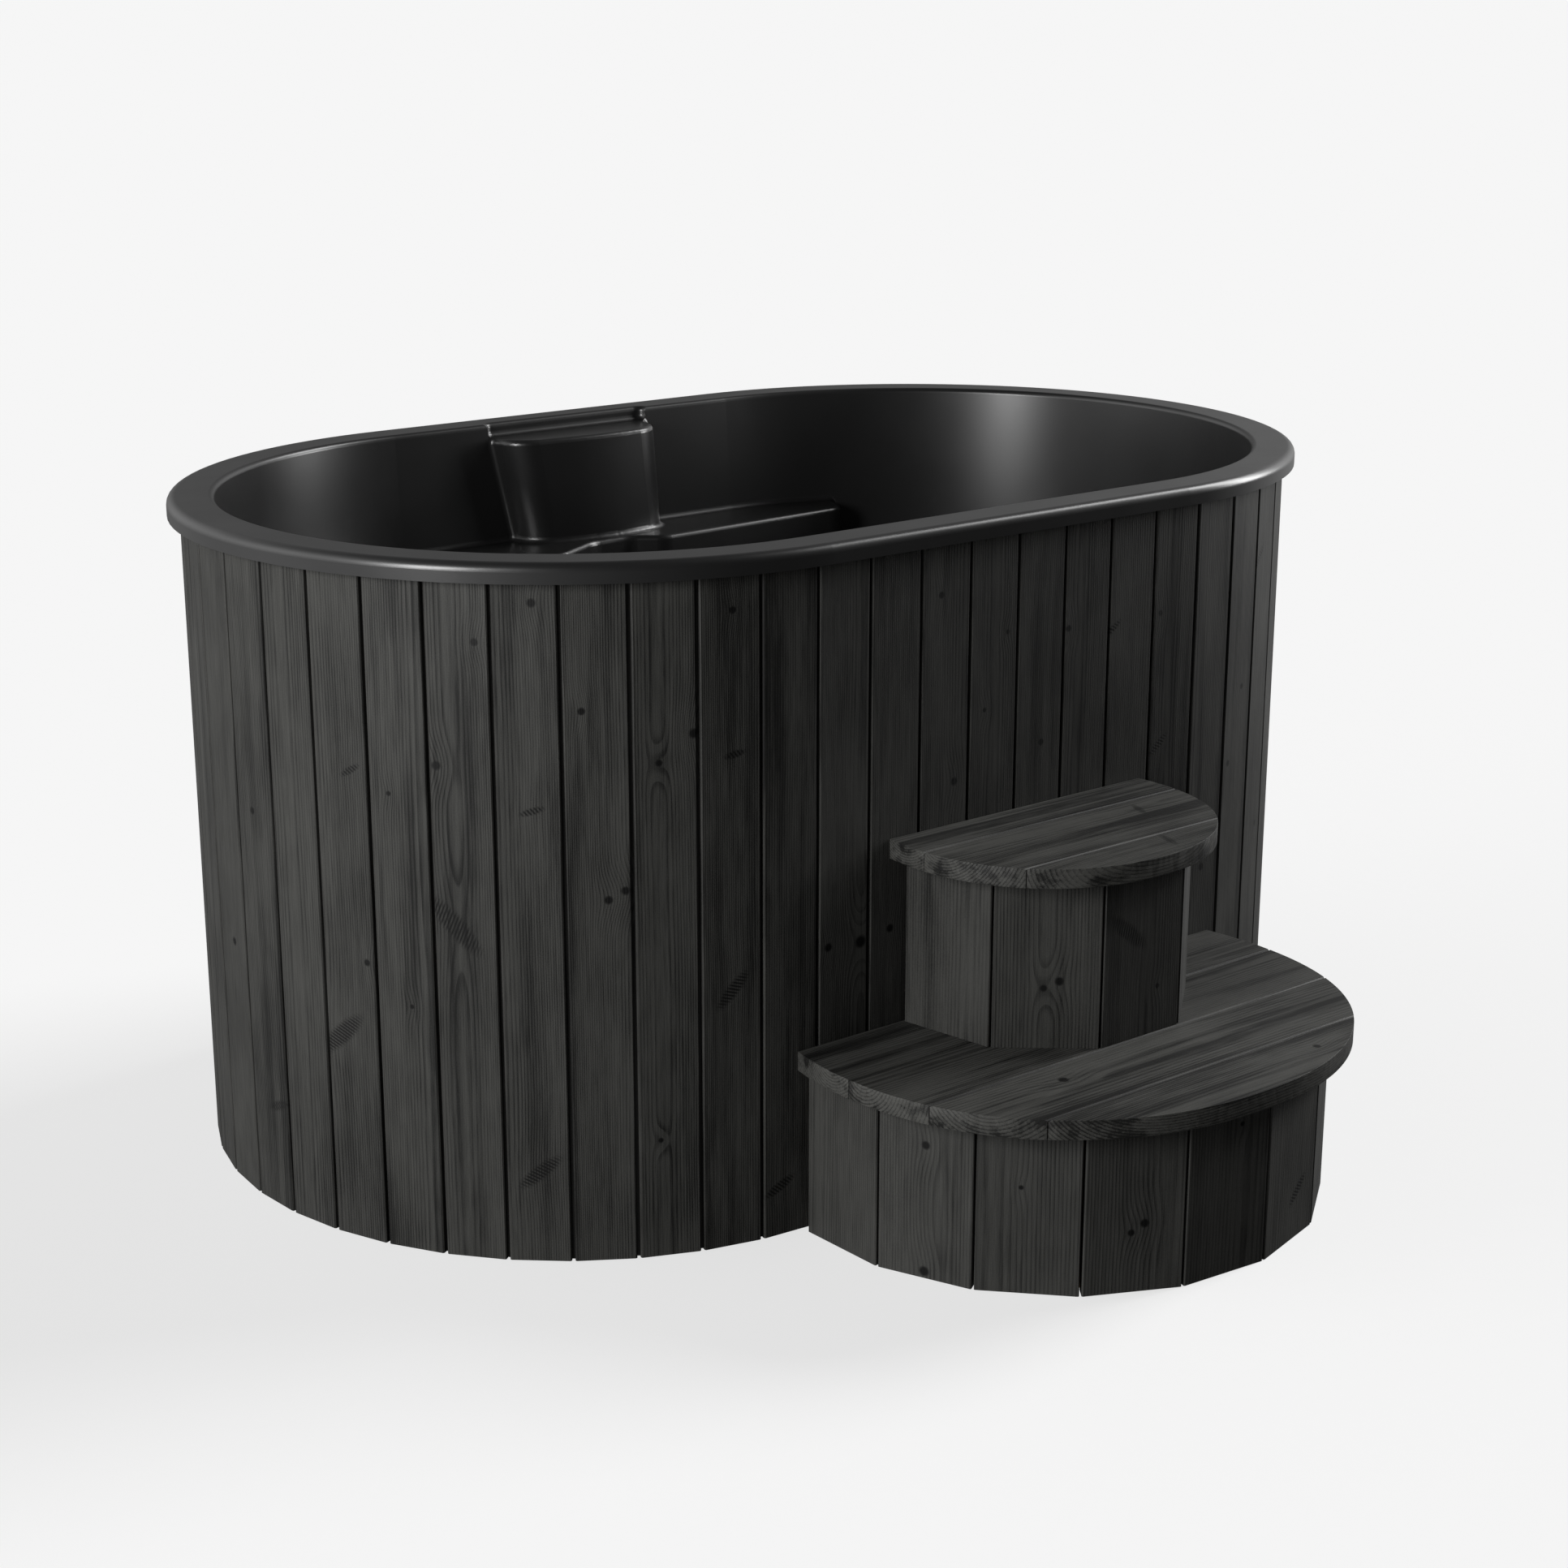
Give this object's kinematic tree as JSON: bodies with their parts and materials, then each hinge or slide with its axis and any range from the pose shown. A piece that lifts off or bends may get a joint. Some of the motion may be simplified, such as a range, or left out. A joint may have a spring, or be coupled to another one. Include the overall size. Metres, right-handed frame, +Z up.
{
  "type": "plunge tub",
  "caption": "Timber-clad plunge tub with rounded ends, a moulded liner with seat steps and an overhanging rim, and a two-tier D-shaped timber stair at its front.",
  "frame": {"origin": "middle of the tub's footprint, on the floor, in the underside of the middle joist", "axes": "+X along the tub, +Y away from the stair towards the back of the tub, +Z up"},
  "size_m": [1.812, 1.706, 0.954],
  "materials": {
    "liner": "fine matte moulding, softly worn at the rim",
    "cladding": "black-stained softwood, grain and knots showing",
    "stair_boards": "black-stained softwood, grain and knots showing",
    "treads": "black-stained softwood, worn lighter on top",
    "plywood": "bare sanded plywood",
    "bare_timber": "planed bare softwood",
    "drain_plastic": "moulded, matte",
    "pipe_plastic": "extruded grey pipe, satin",
    "grate_steel": "brushed stainless",
    "gasket": "soft matte rubber",
    "brass": "forged, sand-blasted and turned",
    "seat_plastic": "white sealing plastic",
    "plated_ball": "polished plating",
    "valve_steel": "zinc-plated steel",
    "grip": "dipped soft plastic",
    "screw_steel": "yellow-passivated steel"
  },
  "bodies": {
    "tub": {"back_cladding": "cladding", "base_deck": "plywood", "base_joist_1": "bare_timber", "base_joist_2": "bare_timber", "base_joist_3": "bare_timber", "base_joist_4": "bare_timber", "base_joist_5": "bare_timber", "drain_elbow": "pipe_plastic", "drain_fitting": "drain_plastic", "drain_gasket": "gasket", "drain_locknut": "drain_plastic", "drain_panel": "plywood", "drain_pipe": "pipe_plastic", "drain_strainer": "grate_steel", "foot_hoop": "plywood", "front_cladding": "cladding", "left_cladding": "cladding", "liner_shell": "liner", "middle_hoop": "plywood", "outlet_spigot": "brass", "packing_nut": "brass", "pipe_collar": "pipe_plastic", "right_cladding": "cladding", "rim_hoop": "plywood", "valve_body": "brass", "valve_seats": "seat_plastic"},
    "valve_handle": {"valve_ball": "plated_ball", "valve_stem": "valve_steel", "valve_lever": "valve_steel", "lever_grip": "grip", "lever_nut": "valve_steel"},
    "stair": {"lower_foot_former": "plywood", "lower_posts": "bare_timber", "lower_riser_1": "stair_boards", "lower_riser_10": "stair_boards", "lower_riser_2": "stair_boards", "lower_riser_3": "stair_boards", "lower_riser_4": "stair_boards", "lower_riser_5": "stair_boards", "lower_riser_6": "stair_boards", "lower_riser_7": "stair_boards", "lower_riser_8": "stair_boards", "lower_riser_9": "stair_boards", "lower_top_former": "plywood", "lower_tread_1": "treads", "lower_tread_2": "treads", "lower_tread_3": "treads", "lower_tread_4": "treads", "tread_screws": "screw_steel", "upper_foot_former": "plywood", "upper_posts": "bare_timber", "upper_riser_1": "stair_boards", "upper_riser_2": "stair_boards", "upper_riser_3": "stair_boards", "upper_riser_4": "stair_boards", "upper_riser_5": "stair_boards", "upper_top_former": "plywood", "upper_tread_1": "treads", "upper_tread_2": "treads", "upper_tread_3": "treads"}
  },
  "joints": [
    {"name": "valve_turn", "type": "hinge", "parent": "tub", "child": "valve_handle", "pos_m": [-0.1036, 0.601, 0.042], "axis": [0, 0, 1], "range_deg": [0, 90]},
    {"name": "stair_move", "type": "slide", "parent": "tub", "child": "stair", "axis": [0, -1, 0], "range_m": [0, 0.4]}
  ]
}
